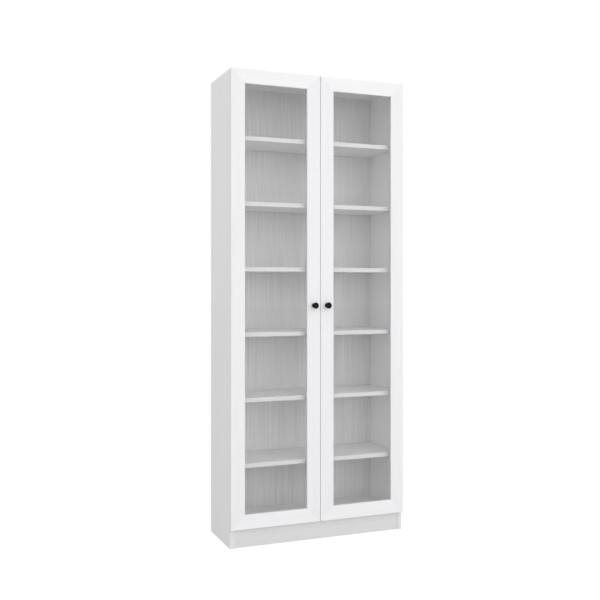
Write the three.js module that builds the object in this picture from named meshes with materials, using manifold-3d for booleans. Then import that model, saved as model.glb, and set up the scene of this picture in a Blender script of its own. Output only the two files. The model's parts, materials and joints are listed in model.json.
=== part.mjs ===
// A tall white bookcase with two glazed doors.
//
// Millimetres, +X to the right, +Y to the back, +Z up. The origin is on the floor, in the middle of
// the bookcase's width and of its depth, which is counted from the faces of the knobs to the back edge.
//
// The case is two full-height sides with a top, a bottom, a plinth and six shelves between them, and
// a thin back held in grooves. Each door is four mitred frame members around a glass pane, and swings
// on four concealed hinges. Such a hinge has an arm on the side, a cup in the door and a goose-neck
// link between them. Everything about the left door and its hinges is made once, and mirrored to the right.

import * as THREE from "three";
import { mergeVertices } from "three/addons/utils/BufferGeometryUtils.js";
import Module from "manifold-3d";

const wasm = await Module();
wasm.setup();

// Driving dimensions

const WIDTH = 800;
const HEIGHT = 1986;
const CASE_AND_DOOR_DEPTH = 300;
const BOARD = 18;
const CLEAR = 0.2; // gap kept between pieces that rest on or in each other

const DOOR_THICKNESS = 16;
const DOOR_BUMPER_GAP = 1.5; // between the closed door and the case
const DOOR_BOTTOM_Z = 79;
const MEETING_GAP = 2.5; // between the two doors
const MEMBER_WIDTH = 60;
const MITRE_GAP = 0.3;
const LIP_THICKNESS = 10; // frame material in front of the glass
const LIP_WIDTH = 9; // how far that lip reaches in past the rebate
const GLASS_THICKNESS = 4;

const PLINTH_HEIGHT = 72;
const PLINTH_SETBACK = 4;
const SHELF_COUNT = 6;
const SHELF_PITCH = 274;
const LOWEST_SHELF_TOP = 344;
const SHELF_SETBACK = 15;
const SHELF_END_GAP = 1;
const SHELF_BACK_GAP = 2;

const BACK_THICKNESS = 3;
const BACK_GROOVE_DEPTH = 8;
const BACK_GROOVE_WIDTH = 3.4;
const BACK_GROOVE_INSET = 9.6; // from the back edge of the sides to the groove
const BACK_EDGE_GAP = 1; // between the back panel's edge and the bottom of its groove

const CAM_RADIUS = 7.5;
const CAM_DEPTH = 12;
const CAM_FROM_EDGE = 34;
const CAM_Y = [-70, 110];
const DRIVER_SLOT_HALF_LENGTH = 5;
const DRIVER_SLOT_HALF_WIDTH = 1;
const DRIVER_SLOT_DEPTH = 3;

const KNOB_PROJECTION = 24;
const KNOB_HEAD_RADIUS = 13.3;
const KNOB_HEAD_THICKNESS = 7.6;
const KNOB_NECK_RADIUS = 8;
const KNOB_BASE_RADIUS = 10;
const KNOB_BORE_DEPTH = 12;
const KNOB_FROM_CENTRE = 30;
const KNOB_Z = 1003.5;
const SCREW_RADIUS = 2;
const SCREW_HEAD_RADIUS = 4;
const SCREW_HEAD_HEIGHT = 2.2;
const SCREW_GRIP = 11; // how far the screw reaches into the knob

const HINGE_COUNT = 4;
const HINGE_FROM_END = 100; // from the door's end to its first hinge
const CUP_FROM_DOOR_EDGE = 22.5;
const CUP_RADIUS = 17.5;
const CUP_DEPTH = 11.5;
const CUP_WALL = 1.3;
const FLANGE_RADIUS = 19;
const FLANGE_THICKNESS = 0.9;
const LINK_HEIGHT = 10;
const LINK_THICKNESS = 2.4;
const ARM_HEIGHT = 14;
const ARM_SHEET = 1.8; // the arm's wall, and the step it makes off the side
const ARM_NOSE_RADIUS = 4.4;
const ARM_TAIL_W = -50; // the arm's rear end, in the hinge's w
const ARM_FORK_W = -11; // the bottom of the fork that takes the link
const PLATE_THICKNESS = 2;
const PLATE_W = [-28, -46];
const PLATE_HALF_HEIGHT = 24;
const WING_HALF_HEIGHT = 28;
const WING_U = [-6, 10]; // the wings' two edges, from the middle of the cup
const ARM_PIN_RADIUS = 1.3;
const CUP_PIN_RADIUS = 1;
const PIN_CLEAR = 0.3; // between a pin and the link's eye on it
const EYE_WALL = 0.8;

const COLOUR = { case: 0xf0f0f2, back: 0xd8d6da, glass: 0xdfe8ea, knob: 0x141414, metal: 0xb9bcc0, bead: 0xe9e9eb };

// Planes that follow from them

const BACK_Y = (CASE_AND_DOOR_DEPTH + KNOB_PROJECTION) / 2;
const DOOR_FRONT_Y = BACK_Y - CASE_AND_DOOR_DEPTH;
const DOOR_BACK_Y = DOOR_FRONT_Y + DOOR_THICKNESS;
const CASE_FRONT_Y = DOOR_BACK_Y + DOOR_BUMPER_GAP;
const LIP_BACK_Y = DOOR_FRONT_Y + LIP_THICKNESS;
const INSIDE_X = WIDTH / 2 - BOARD;
const GROOVE_FRONT_Y = BACK_Y - BACK_GROOVE_INSET - BACK_GROOVE_WIDTH;
const BOTTOM_TOP_Z = PLINTH_HEIGHT + BOARD;
const DOOR_HEIGHT = HEIGHT - DOOR_BOTTOM_Z;

// The hinge is drawn in its own plane: u is measured in from the inner face of the side, and w forward
// from the front edge of the case. The link turns on the arm at ARM_PIVOT and carries the cup at CUP_PIVOT.

const ARM_PIVOT = new THREE.Vector2(12.7, -5.8);
const CUP_PIVOT = new THREE.Vector2(-7.7, 3.7);
const LINK_BENDS = [new THREE.Vector2(-4.6, 6.2), new THREE.Vector2(3, 6.8), new THREE.Vector2(9.8, 2)];
const CUP_U = CUP_FROM_DOOR_EDGE - BOARD;

const fromU = (u) => u - INSIDE_X;
const fromW = (w) => CASE_FRONT_Y - w;

// Geometry helpers

function box([x0, x1], [y0, y1], [z0, z1]) {
  const geometry = new THREE.BoxGeometry(x1 - x0, y1 - y0, z1 - z0);
  return geometry.translate((x0 + x1) / 2, (y0 + y1) / 2, (z0 + z1) / 2);
}

function outline(points) {
  return new THREE.Shape(points.map(([a, b]) => new THREE.Vector2(a, b)));
}

// A shape drawn in X and Z, given its thickness from yFront to yBack.
function plate(shape, yFront, yBack) {
  const geometry = new THREE.ExtrudeGeometry(shape, { depth: yBack - yFront, bevelEnabled: false });
  return geometry.rotateX(Math.PI / 2).translate(0, yBack, 0);
}

// A shape drawn in X and Y, given its height from zLow to zHigh.
function column(shape, zLow, zHigh) {
  const geometry = new THREE.ExtrudeGeometry(shape, { depth: zHigh - zLow, bevelEnabled: false });
  return geometry.translate(0, 0, zLow);
}

// A shape drawn in Y and Z, given its length from xLow to xHigh.
function beam(shape, xLow, xHigh) {
  const geometry = new THREE.ExtrudeGeometry(shape, { depth: xHigh - xLow, bevelEnabled: false });
  return geometry.rotateX(Math.PI / 2).rotateZ(Math.PI / 2).translate(xLow, 0, 0);
}

function uprightRod(radius, [x, y], [z0, z1], segments) {
  const geometry = new THREE.CylinderGeometry(radius, radius, z1 - z0, segments);
  return geometry.rotateX(Math.PI / 2).translate(x, y, (z0 + z1) / 2);
}

function frontRod(radius, [x, z], [y0, y1], segments) {
  const geometry = new THREE.CylinderGeometry(radius, radius, y1 - y0, segments);
  return geometry.translate(x, (y0 + y1) / 2, z);
}

function turned(profile, segments) {
  return new THREE.LatheGeometry(profile.map(([r, y]) => new THREE.Vector2(r, y)), segments);
}

function asManifold(geometry) {
  const bare = geometry.clone();
  bare.deleteAttribute("normal");
  bare.deleteAttribute("uv");
  const merged = mergeVertices(bare);
  return new wasm.Manifold(new wasm.Mesh({
    numProp: 3,
    vertProperties: new Float32Array(merged.attributes.position.array),
    triVerts: new Uint32Array(merged.index.array),
  }));
}

function asGeometry(manifold) {
  const mesh = manifold.getMesh();
  const geometry = new THREE.BufferGeometry();
  geometry.setAttribute("position", new THREE.BufferAttribute(new Float32Array(mesh.vertProperties), 3));
  geometry.setIndex(new THREE.BufferAttribute(new Uint32Array(mesh.triVerts), 1));
  geometry.computeVertexNormals();
  return geometry;
}

function join(...geometries) {
  return asGeometry(geometries.map(asManifold).reduce((whole, piece) => whole.add(piece)));
}

function cut(geometry, ...cutters) {
  return asGeometry(cutters.map(asManifold).reduce((whole, cutter) => whole.subtract(cutter), asManifold(geometry)));
}

function addMesh(parent, name, geometry, colour, roughness, metalness) {
  const material = new THREE.MeshStandardMaterial({ color: colour, roughness, metalness });
  const mesh = new THREE.Mesh(geometry, material);
  mesh.name = name;
  parent.add(mesh);
}

const addBoard = (parent, name, geometry, colour = COLOUR.case) => addMesh(parent, name, geometry, colour, 0.5, 0);
const addMetal = (parent, name, geometry) => addMesh(parent, name, geometry, COLOUR.metal, 0.3, 0.9);

// The case

function sidePanel() {
  const outerX = -WIDTH / 2;
  const innerX = -INSIDE_X;
  const grooveX = innerX - BACK_GROOVE_DEPTH;
  const grooveBackY = GROOVE_FRONT_Y + BACK_GROOVE_WIDTH;
  return column(outline([
    [outerX, CASE_FRONT_Y],
    [innerX, CASE_FRONT_Y],
    [innerX, GROOVE_FRONT_Y],
    [grooveX, GROOVE_FRONT_Y],
    [grooveX, grooveBackY],
    [innerX, grooveBackY],
    [innerX, BACK_Y],
    [outerX, BACK_Y],
  ]), 0, HEIGHT);
}

// The top and bottom panels share a section: a board grooved on its inner face for the back, with the
// cam locks' pockets in its outer face. inward is +1 where the inner face is the upper one.
function endPanel(lowZ, inward) {
  const innerZ = inward > 0 ? lowZ + BOARD : lowZ;
  const outerZ = inward > 0 ? lowZ : lowZ + BOARD;
  const grooveZ = innerZ - inward * BACK_GROOVE_DEPTH;
  const grooveBackY = GROOVE_FRONT_Y + BACK_GROOVE_WIDTH;
  const points = [
    [CASE_FRONT_Y, outerZ],
    [BACK_Y, outerZ],
    [BACK_Y, innerZ],
    [grooveBackY, innerZ],
    [grooveBackY, grooveZ],
    [GROOVE_FRONT_Y, grooveZ],
    [GROOVE_FRONT_Y, innerZ],
    [CASE_FRONT_Y, innerZ],
  ];
  const board = beam(outline(points), -INSIDE_X + CLEAR, INSIDE_X - CLEAR);
  const pocketDepth = CAM_DEPTH + 2 * CLEAR;
  const pocketZ = inward > 0 ? [outerZ - 1, outerZ + pocketDepth] : [outerZ - pocketDepth, outerZ + 1];
  const pockets = camPlaces().map((place) => uprightRod(CAM_RADIUS + CLEAR, place, pocketZ, 20));
  return cut(board, ...pockets);
}

function camPlaces() {
  const x = INSIDE_X - CAM_FROM_EDGE;
  return [-x, x].flatMap((camX) => CAM_Y.map((camY) => [camX, camY]));
}

// A cam lock is a flat drum with a chamfered rim and a driver slot across its outer face.
function camLock([x, y], outerZ, inward) {
  const low = inward > 0 ? outerZ + CLEAR : outerZ - CLEAR - CAM_DEPTH;
  const high = low + CAM_DEPTH;
  const drum = uprightRod(CAM_RADIUS, [x, y], [low, high], 20);
  const slotX = [x - DRIVER_SLOT_HALF_LENGTH, x + DRIVER_SLOT_HALF_LENGTH];
  const slotY = [y - DRIVER_SLOT_HALF_WIDTH, y + DRIVER_SLOT_HALF_WIDTH];
  const slotZ = inward > 0 ? [low - 1, low + DRIVER_SLOT_DEPTH] : [high - DRIVER_SLOT_DEPTH, high + 1];
  return cut(drum, box(slotX, slotY, slotZ));
}

function addCase(parent) {
  addBoard(parent, "side_panel_left", sidePanel());
  const mirrored = new THREE.Group();
  mirrored.scale.x = -1;
  parent.add(mirrored);
  addBoard(mirrored, "side_panel_right", sidePanel());
  addBoard(parent, "top_panel", endPanel(HEIGHT - BOARD, -1));
  addBoard(parent, "bottom_panel", endPanel(PLINTH_HEIGHT, 1));

  const betweenSides = [-INSIDE_X + CLEAR, INSIDE_X - CLEAR];
  const plinthY = CASE_FRONT_Y + PLINTH_SETBACK;
  addBoard(parent, "plinth_board", box(betweenSides, [plinthY, plinthY + BOARD], [0, PLINTH_HEIGHT - CLEAR]));

  const reach = BACK_GROOVE_DEPTH - BACK_EDGE_GAP;
  addBoard(parent, "back_panel", box(
    [-INSIDE_X - reach, INSIDE_X + reach],
    [GROOVE_FRONT_Y + CLEAR, GROOVE_FRONT_Y + CLEAR + BACK_THICKNESS],
    [BOTTOM_TOP_Z - reach, HEIGHT - BOARD + reach],
  ), COLOUR.back);

  for (let i = 0; i < SHELF_COUNT; i += 1) {
    const shelfTop = LOWEST_SHELF_TOP + i * SHELF_PITCH;
    addBoard(parent, `shelf_${i + 1}`, box(
      [-INSIDE_X + SHELF_END_GAP, INSIDE_X - SHELF_END_GAP],
      [CASE_FRONT_Y + SHELF_SETBACK, GROOVE_FRONT_Y - SHELF_BACK_GAP],
      [shelfTop - BOARD, shelfTop],
    ));
  }

  camPlaces().forEach((place, i) => {
    addMetal(parent, `top_cam_lock_${i + 1}`, camLock(place, HEIGHT, -1));
    addMetal(parent, `bottom_cam_lock_${i + 1}`, camLock(place, PLINTH_HEIGHT, 1));
  });
}

// The concealed hinge, left-hand, centred on the height z

function hingeHeights() {
  const step = (DOOR_HEIGHT - 2 * HINGE_FROM_END) / (HINGE_COUNT - 1);
  return Array.from({ length: HINGE_COUNT }, (_, i) => DOOR_BOTTOM_Z + HINGE_FROM_END + Math.round(i * step));
}

// A stamped arm: a cross plate screwed to the side, and over it a tapering channel that ends in a fork.
function hingeArm(z) {
  const noseX = fromU(ARM_PIVOT.x);
  const noseY = fromW(ARM_PIVOT.y);
  const profile = new THREE.Shape();
  profile.moveTo(fromU(ARM_SHEET), fromW(-24));
  profile.lineTo(fromU(ARM_SHEET), fromW(ARM_TAIL_W));
  profile.lineTo(fromU(2 * ARM_SHEET), fromW(ARM_TAIL_W));
  profile.lineTo(fromU(11), fromW(-36));
  profile.lineTo(noseX + ARM_NOSE_RADIUS, fromW(-16));
  profile.lineTo(noseX + ARM_NOSE_RADIUS, noseY);
  profile.absarc(noseX, noseY, ARM_NOSE_RADIUS, 0, -Math.PI, true);
  profile.lineTo(noseX - ARM_NOSE_RADIUS, fromW(-14));
  const half = ARM_HEIGHT / 2;
  const channel = new THREE.ExtrudeGeometry(profile, { depth: ARM_HEIGHT, bevelEnabled: false, curveSegments: 10 });
  channel.translate(0, 0, z - half);
  const slotHalf = LINK_HEIGHT / 2 + CLEAR + 0.1;
  const slotReach = 2 * ARM_NOSE_RADIUS;
  const slotY = [noseY - slotReach, fromW(ARM_FORK_W)];
  const slot = box([noseX - slotReach, noseX + slotReach], slotY, [z - slotHalf, z + slotHalf]);
  const crossPlate = box(
    [fromU(CLEAR), fromU(CLEAR + PLATE_THICKNESS)],
    PLATE_W.map(fromW),
    [z - PLATE_HALF_HEIGHT, z + PLATE_HALF_HEIGHT],
  );
  const pin = uprightRod(ARM_PIN_RADIUS, [noseX, noseY], [z - half + 0.3, z + half - 0.3], 12);
  return join(cut(channel, slot), crossPlate, pin);
}

// A goose-neck band between two eyes.
function hingeLink(z) {
  const half = LINK_HEIGHT / 2;
  const route = new THREE.SplineCurve([CUP_PIVOT, ...LINK_BENDS, ARM_PIVOT]);
  const steps = 12;
  const edge = (side) => Array.from({ length: steps + 1 }, (_, i) => {
    const tangent = route.getTangent(i / steps);
    const normal = new THREE.Vector2(-tangent.y, tangent.x).multiplyScalar((side * LINK_THICKNESS) / 2);
    const point = route.getPoint(i / steps).add(normal);
    return [fromU(point.x), fromW(point.y)];
  });
  const band = column(outline([...edge(1), ...edge(-1).reverse()]), z - half, z + half);
  const armEye = [fromU(ARM_PIVOT.x), fromW(ARM_PIVOT.y)];
  const cupEye = [fromU(CUP_PIVOT.x), fromW(CUP_PIVOT.y)];
  const armBore = ARM_PIN_RADIUS + PIN_CLEAR;
  const cupBore = CUP_PIN_RADIUS + PIN_CLEAR;
  const whole = join(
    band,
    uprightRod(armBore + EYE_WALL, armEye, [z - half, z + half], 16),
    uprightRod(cupBore + EYE_WALL, cupEye, [z - half, z + half], 16),
  );
  const through = [z - half - 1, z + half + 1];
  return cut(whole, uprightRod(armBore, armEye, through, 12), uprightRod(cupBore, cupEye, through, 12));
}

// The cup, its flange with two screw wings, and the pin that the link carries it by.
function hingeCup(z) {
  const inner = CUP_RADIUS - CUP_WALL;
  const flangeBack = DOOR_BUMPER_GAP - CLEAR - FLANGE_THICKNESS;
  const flangeFront = DOOR_BUMPER_GAP - CLEAR;
  const floor = DOOR_BUMPER_GAP + CUP_DEPTH;
  const shell = turned([
    [0, -floor],
    [CUP_RADIUS, -floor],
    [CUP_RADIUS, -flangeFront],
    [FLANGE_RADIUS, -flangeFront],
    [FLANGE_RADIUS, -flangeBack],
    [inner, -flangeBack],
    [inner, CUP_WALL - floor],
    [0, CUP_WALL - floor],
  ], 20).translate(fromU(CUP_U), CASE_FRONT_Y, z);
  const wingY = [fromW(flangeFront), fromW(flangeBack)];
  const wings = cut(
    box(WING_U.map((u) => fromU(CUP_U + u)), wingY, [z - WING_HALF_HEIGHT, z + WING_HALF_HEIGHT]),
    frontRod(inner + 0.6, [fromU(CUP_U), z], [wingY[0] - 1, wingY[1] + 1], 20),
  );
  const pinOuterEdge = CUP_U - CUP_PIVOT.x + CUP_PIN_RADIUS;
  const reach = Math.sqrt(CUP_RADIUS ** 2 - pinOuterEdge ** 2) - 0.5;
  const pinPlace = [fromU(CUP_PIVOT.x), fromW(CUP_PIVOT.y)];
  const pin = uprightRod(CUP_PIN_RADIUS, pinPlace, [z - reach, z + reach], 12);
  return join(shell, wings, pin);
}

// The left door

const DOOR_LEFT_X = -WIDTH / 2;
const DOOR_RIGHT_X = -MEETING_GAP / 2;

// A mitred frame member is a wide lip in front of the glass and a narrower back beside the rebate.
function frameMember(trapezoid) {
  return join(
    plate(outline(trapezoid(MEMBER_WIDTH)), DOOR_FRONT_Y, LIP_BACK_Y),
    plate(outline(trapezoid(MEMBER_WIDTH - LIP_WIDTH)), LIP_BACK_Y - CLEAR, DOOR_BACK_Y),
  );
}

function stile(outerX, inward) {
  return frameMember((width) => {
    const points = [
      [outerX, DOOR_BOTTOM_Z],
      [outerX + inward * width, DOOR_BOTTOM_Z + width],
      [outerX + inward * width, HEIGHT - width],
      [outerX, HEIGHT],
    ];
    return inward > 0 ? points : points.reverse();
  });
}

function rail(outerZ, inward) {
  return frameMember((width) => {
    const points = [
      [DOOR_LEFT_X + MITRE_GAP, outerZ],
      [DOOR_RIGHT_X - MITRE_GAP, outerZ],
      [DOOR_RIGHT_X - MITRE_GAP - width, outerZ + inward * width],
      [DOOR_LEFT_X + MITRE_GAP + width, outerZ + inward * width],
    ];
    return inward > 0 ? points : points.reverse();
  });
}

function hingeStile() {
  const boreDepth = [DOOR_BACK_Y - CUP_DEPTH - 0.5, DOOR_BACK_Y + 1];
  const bores = hingeHeights().map((z) => frontRod(CUP_RADIUS + CLEAR, [fromU(CUP_U), z], boreDepth, 20));
  return cut(stile(DOOR_LEFT_X, 1), ...bores);
}

function knobStile() {
  const through = [DOOR_FRONT_Y - 1, DOOR_BACK_Y + 1];
  return cut(stile(DOOR_RIGHT_X, -1), frontRod(SCREW_RADIUS + 0.5, [-KNOB_FROM_CENTRE, KNOB_Z], through, 14));
}

function insetRectangle(inset) {
  return [
    [DOOR_LEFT_X + inset, DOOR_BOTTOM_Z + inset],
    [DOOR_RIGHT_X - inset, DOOR_BOTTOM_Z + inset],
    [DOOR_RIGHT_X - inset, HEIGHT - inset],
    [DOOR_LEFT_X + inset, HEIGHT - inset],
  ];
}

const GLASS_INSET = MEMBER_WIDTH - LIP_WIDTH + 0.5;
const GLASS_FRONT_Y = LIP_BACK_Y + CLEAR;

function glassPane() {
  return plate(outline(insetRectangle(GLASS_INSET)), GLASS_FRONT_Y, GLASS_FRONT_Y + GLASS_THICKNESS);
}

function glassBead() {
  const ring = outline(insetRectangle(MEMBER_WIDTH - LIP_WIDTH + CLEAR));
  ring.holes.push(new THREE.Path(insetRectangle(MEMBER_WIDTH).map(([x, z]) => new THREE.Vector2(x, z))));
  return plate(ring, GLASS_FRONT_Y + GLASS_THICKNESS + CLEAR, DOOR_BACK_Y);
}

// A mushroom knob: a slightly dished face, a rounded rim, a waist and a base, bored for its screw.
function knob() {
  const face = DOOR_FRONT_Y - KNOB_PROJECTION;
  const base = DOOR_FRONT_Y - CLEAR;
  const rim = KNOB_HEAD_RADIUS;
  return turned([
    [0, face + 0.6],
    [rim - 4, face + 0.4],
    [rim - 2.4, face],
    [rim - 0.7, face + 1.1],
    [rim, face + 3],
    [rim - 0.5, face + 5],
    [rim - 2.5, face + KNOB_HEAD_THICKNESS],
    [KNOB_NECK_RADIUS + 1.4, face + 9.6],
    [KNOB_NECK_RADIUS, face + 13],
    [KNOB_NECK_RADIUS + 0.3, face + 18],
    [KNOB_BASE_RADIUS, base - 2],
    [KNOB_BASE_RADIUS, base],
    [SCREW_RADIUS + 0.4, base],
    [SCREW_RADIUS + 0.4, base - KNOB_BORE_DEPTH],
    [0, base - KNOB_BORE_DEPTH],
  ], 24).translate(-KNOB_FROM_CENTRE, 0, KNOB_Z);
}

function knobScrew() {
  const headY = DOOR_BACK_Y + CLEAR;
  const tipY = DOOR_FRONT_Y - CLEAR - SCREW_GRIP;
  return turned([
    [0, tipY],
    [SCREW_RADIUS, tipY],
    [SCREW_RADIUS, headY],
    [SCREW_HEAD_RADIUS, headY],
    [SCREW_HEAD_RADIUS, headY + SCREW_HEAD_HEIGHT / 2],
    [SCREW_HEAD_RADIUS - 1.2, headY + SCREW_HEAD_HEIGHT],
    [0, headY + SCREW_HEAD_HEIGHT],
  ], 16).translate(-KNOB_FROM_CENTRE, 0, KNOB_Z);
}

function addDoor(parent, side) {
  addBoard(parent, `door_${side}_hinge_stile`, hingeStile());
  addBoard(parent, `door_${side}_knob_stile`, knobStile());
  addBoard(parent, `door_${side}_top_rail`, rail(HEIGHT, -1));
  addBoard(parent, `door_${side}_bottom_rail`, rail(DOOR_BOTTOM_Z, 1));
  addMesh(parent, `glass_${side}`, glassPane(), COLOUR.glass, 0.03, 0);
  addMesh(parent, `glass_bead_${side}`, glassBead(), COLOUR.bead, 0.4, 0);
  addMesh(parent, `knob_${side}`, knob(), COLOUR.knob, 0.35, 0);
  addMetal(parent, `knob_screw_${side}`, knobScrew());
}

function addHinges(parent, side) {
  hingeHeights().forEach((z, i) => {
    addMetal(parent, `hinge_arm_${side}_${i + 1}`, hingeArm(z));
    addMetal(parent, `hinge_link_${side}_${i + 1}`, hingeLink(z));
    addMetal(parent, `hinge_cup_${side}_${i + 1}`, hingeCup(z));
  });
}

const bookcase = new THREE.Group();
addCase(bookcase);
for (const [side, mirror] of [["left", 1], ["right", -1]]) {
  const half = new THREE.Group();
  half.scale.x = mirror;
  addDoor(half, side);
  addHinges(half, side);
  bookcase.add(half);
}

export default bookcase;
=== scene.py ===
# %% [markdown]
# # A tall white bookcase with two glazed doors
#
# The real object is a flat-pack case: foil-covered boards, a thin back, and two glazed doors in
# mitred frames that hang on concealed hinges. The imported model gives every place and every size, so
# this lesson only builds the finished surfaces around it: rounded board edges, mitred frame members,
# turned knobs, pressed-steel hinges, glass, and the finishes that make them look real.

# %% Load the fixed frame
import json
import math

import bmesh
import bpy
from mathutils import Matrix, Vector


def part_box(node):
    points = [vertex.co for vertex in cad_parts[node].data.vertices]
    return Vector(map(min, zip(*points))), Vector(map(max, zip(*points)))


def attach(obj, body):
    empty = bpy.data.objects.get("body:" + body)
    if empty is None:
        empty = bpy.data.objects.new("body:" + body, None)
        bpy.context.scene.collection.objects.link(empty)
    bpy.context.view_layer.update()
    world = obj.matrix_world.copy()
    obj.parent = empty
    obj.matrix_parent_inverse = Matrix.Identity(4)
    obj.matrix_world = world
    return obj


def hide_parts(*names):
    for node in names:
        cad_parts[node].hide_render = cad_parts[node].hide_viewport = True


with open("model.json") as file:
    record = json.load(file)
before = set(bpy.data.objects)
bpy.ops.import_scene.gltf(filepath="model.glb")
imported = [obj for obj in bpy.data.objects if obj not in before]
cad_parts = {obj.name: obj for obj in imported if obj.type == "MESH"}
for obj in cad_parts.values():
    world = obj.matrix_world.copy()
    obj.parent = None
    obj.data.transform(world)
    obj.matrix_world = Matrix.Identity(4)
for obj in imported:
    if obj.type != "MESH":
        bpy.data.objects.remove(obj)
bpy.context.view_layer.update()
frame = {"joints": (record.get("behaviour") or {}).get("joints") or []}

# %% [markdown]
# ## Places that everything is measured from
#
# The frame is in metres, with X to the right, Y to the back and Z up. The left half is built, and the
# right half is its mirror image, so the named planes below are those of the left side.

# %% Named planes and sizes
MM = 0.001
SIDES = ("left", "right")
UP = Vector((0, 0, 1))
RIGHT = Vector((1, 0, 0))
panel_low, panel_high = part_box("side_panel_left")
door_low, door_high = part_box("door_left_hinge_stile")
knob_stile_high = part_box("door_left_knob_stile")[1]
glass_low, glass_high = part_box("glass_left")
back_low, back_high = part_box("back_panel")

case_front = panel_low.y
case_back = panel_high.y
inside_x = panel_high.x
door_front = door_low.y
door_back = door_high.y
door_edge = Vector((door_low.x, 0, door_low.z))
door_meeting = Vector((knob_stile_high.x, 0, door_high.z))
member_width = door_high.x - door_low.x
pivots = {joint["name"]: Vector(joint["pos_m"]) for joint in frame["joints"]}
arm_pivot = pivots["left_link_swing"]
cup_pivot = pivots["left_door_swing"]
hinge_nodes = [f"hinge_cup_left_{i}" for i in range(1, 5)]
hinge_heights = [sum((corner.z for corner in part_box(node))) / 2 for node in hinge_nodes]
print("door leaf:", tuple(round(1000 * x) for x in (door_edge.x, door_meeting.x, door_low.z, door_high.z)))
print("hinge heights in mm:", [round(1000 * z) for z in hinge_heights])

# %% [markdown]
# ## Shader maths as plain expressions
#
# A finish is mostly arithmetic on noise: streaks times strength, one minus a mask. `Wire` wraps a
# node's output so that Python's own operators add the Math nodes. `Graph` holds one node tree, and its
# `node` method adds any node from a type, its settings and the values or wires it takes. `Finish` is
# the graph of one material, with the noises and masks that every finish here is mixed from.

# %% A wire, a graph and a finish
class Wire:
    """One output of a shader node."""

    def __init__(self, graph, socket):
        self.graph = graph
        self.socket = socket

    def __add__(self, other):
        return self.graph.math("ADD", self, other)

    __radd__ = __add__

    def __sub__(self, other):
        return self.graph.math("SUBTRACT", self, other)

    def __rsub__(self, other):
        return self.graph.math("SUBTRACT", other, self)

    def __mul__(self, other):
        return self.graph.math("MULTIPLY", self, other)

    __rmul__ = __mul__

    def __pow__(self, other):
        return self.graph.math("POWER", self, other)


class Graph:
    """A node tree, and the few ways in which nodes are added to it."""

    def __init__(self, tree):
        self.tree = tree

    def feed(self, socket, value):
        if isinstance(value, Wire):
            self.tree.links.new(value.socket, socket)
        elif hasattr(socket.default_value, "__len__") and len(socket.default_value) == 4:
            socket.default_value = (*value, 1) if len(value) == 3 else value
        else:
            socket.default_value = value

    def node(self, kind, output=0, settings=None, **values):
        """Values go to inputs by name, or by number as input0, input1 and so on."""
        made = self.tree.nodes.new(kind)
        for key, value in (settings or {}).items():
            setattr(made, key, value)
        for key, value in values.items():
            index = int(key[5:]) if key.startswith("input") else key.replace("_", " ")
            self.feed(made.inputs[index], value)
        return Wire(self, made.outputs[output])

    def math(self, operation, first, second):
        settings = {"operation": operation}
        return self.node("ShaderNodeMath", settings=settings, input0=first, input1=second)

    def vector(self, operation, first, second, output=0):
        settings = {"operation": operation}
        return self.node("ShaderNodeVectorMath", output, settings, input0=first, input1=second)

    def band(self, value, low, high):
        """0 below low, 1 above high, and a smooth rise between them."""
        settings = {"interpolation_type": "SMOOTHSTEP"}
        return self.node("ShaderNodeMapRange", settings=settings, input0=value, input1=low, input2=high)

    def blend(self, factor, first, second):
        """Mixes two colours."""
        settings = {"data_type": "RGBA"}
        return self.node("ShaderNodeMix", 2, settings, input0=factor, input6=first, input7=second)


class Finish(Graph):
    """A material with one Principled shader, whose varying values are wires."""

    def __init__(self, name, **constants):
        self.material = bpy.data.materials.new(name)
        self.material.use_nodes = True
        super().__init__(self.material.node_tree)
        self.shader = self.tree.nodes["Principled BSDF"]
        self.output = self.tree.nodes["Material Output"]
        self.set(**constants)

    def set(self, **values):
        for key, value in values.items():
            socket_name = key.replace("_", " ").title().replace("Ior", "IOR")
            self.feed(self.shader.inputs[socket_name], value)

    def place(self, scale):
        """Object coordinates in metres, times a scale for each axis."""
        return self.vector("MULTIPLY", self.node("ShaderNodeTexCoord", "Object"), scale)

    def noise(self, scale, detail=2.0, roughness=0.5, distortion=0.0):
        return self.node("ShaderNodeTexNoise", Vector=self.place(scale), Scale=1.0, Detail=detail,
                         Roughness=roughness, Distortion=distortion)

    def bump(self, height, distance, strength=1.0):
        return self.node("ShaderNodeBump", Height=height, Distance=distance, Strength=strength)

    def axis(self, name):
        return self.node("ShaderNodeSeparateXYZ", name, Vector=self.place((1, 1, 1)))


# %% [markdown]
# ## White foil with a grain
#
# Every board is covered in white foil that is printed and pressed with a fine wood grain. The grain
# runs along the board, so the same recipe takes the direction as an argument. It has three scales:
# broad soft streaks a few centimetres wide, the fine streaks that show from across a room, and pores
# that only a close look finds. Each of them darkens the foil a little and dents it a little. The front
# edges of the shelves, the ends and the sides have strips of tape, whose greyer tone is painted shade
# on those edges.

# %% The foil recipe
STREAK_DEPTH = 0.035       # how much darker the darkest grain is than the foil around it
BOLD_STREAK_DEPTH = 0.045  # the same for the plinth and the door frames, whose grain shows more
FOIL_SPECULAR = 0.35
# The tape tones are greyer than the foil: painted shade on the boards' front edges.
LEVEL_SHADE_TONES = {"shaded_tape": 0.76, "faces": 0.87}
# The side tones paint light and shade: inner faces lighter, outer faces darker, edge tape darkest.
SIDE_LIGHT_AND_SHADE_TONES = {"shaded_tape": 0.80, "shaded_outside": 0.89, "lit_inside": 0.91}
# The plinth's dark tone is painted shade, for its place low down under the doors.
PLINTH_SHADED_TONE, STILE_TONE, RAIL_LIT_TONE = 0.76, 0.89, 0.92


def along(axis, across, lengthwise):
    """A noise scale that is stretched along one axis: 'X', 'Y' or 'Z'."""
    return tuple(lengthwise if name == axis else across for name in "XYZ")


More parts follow.
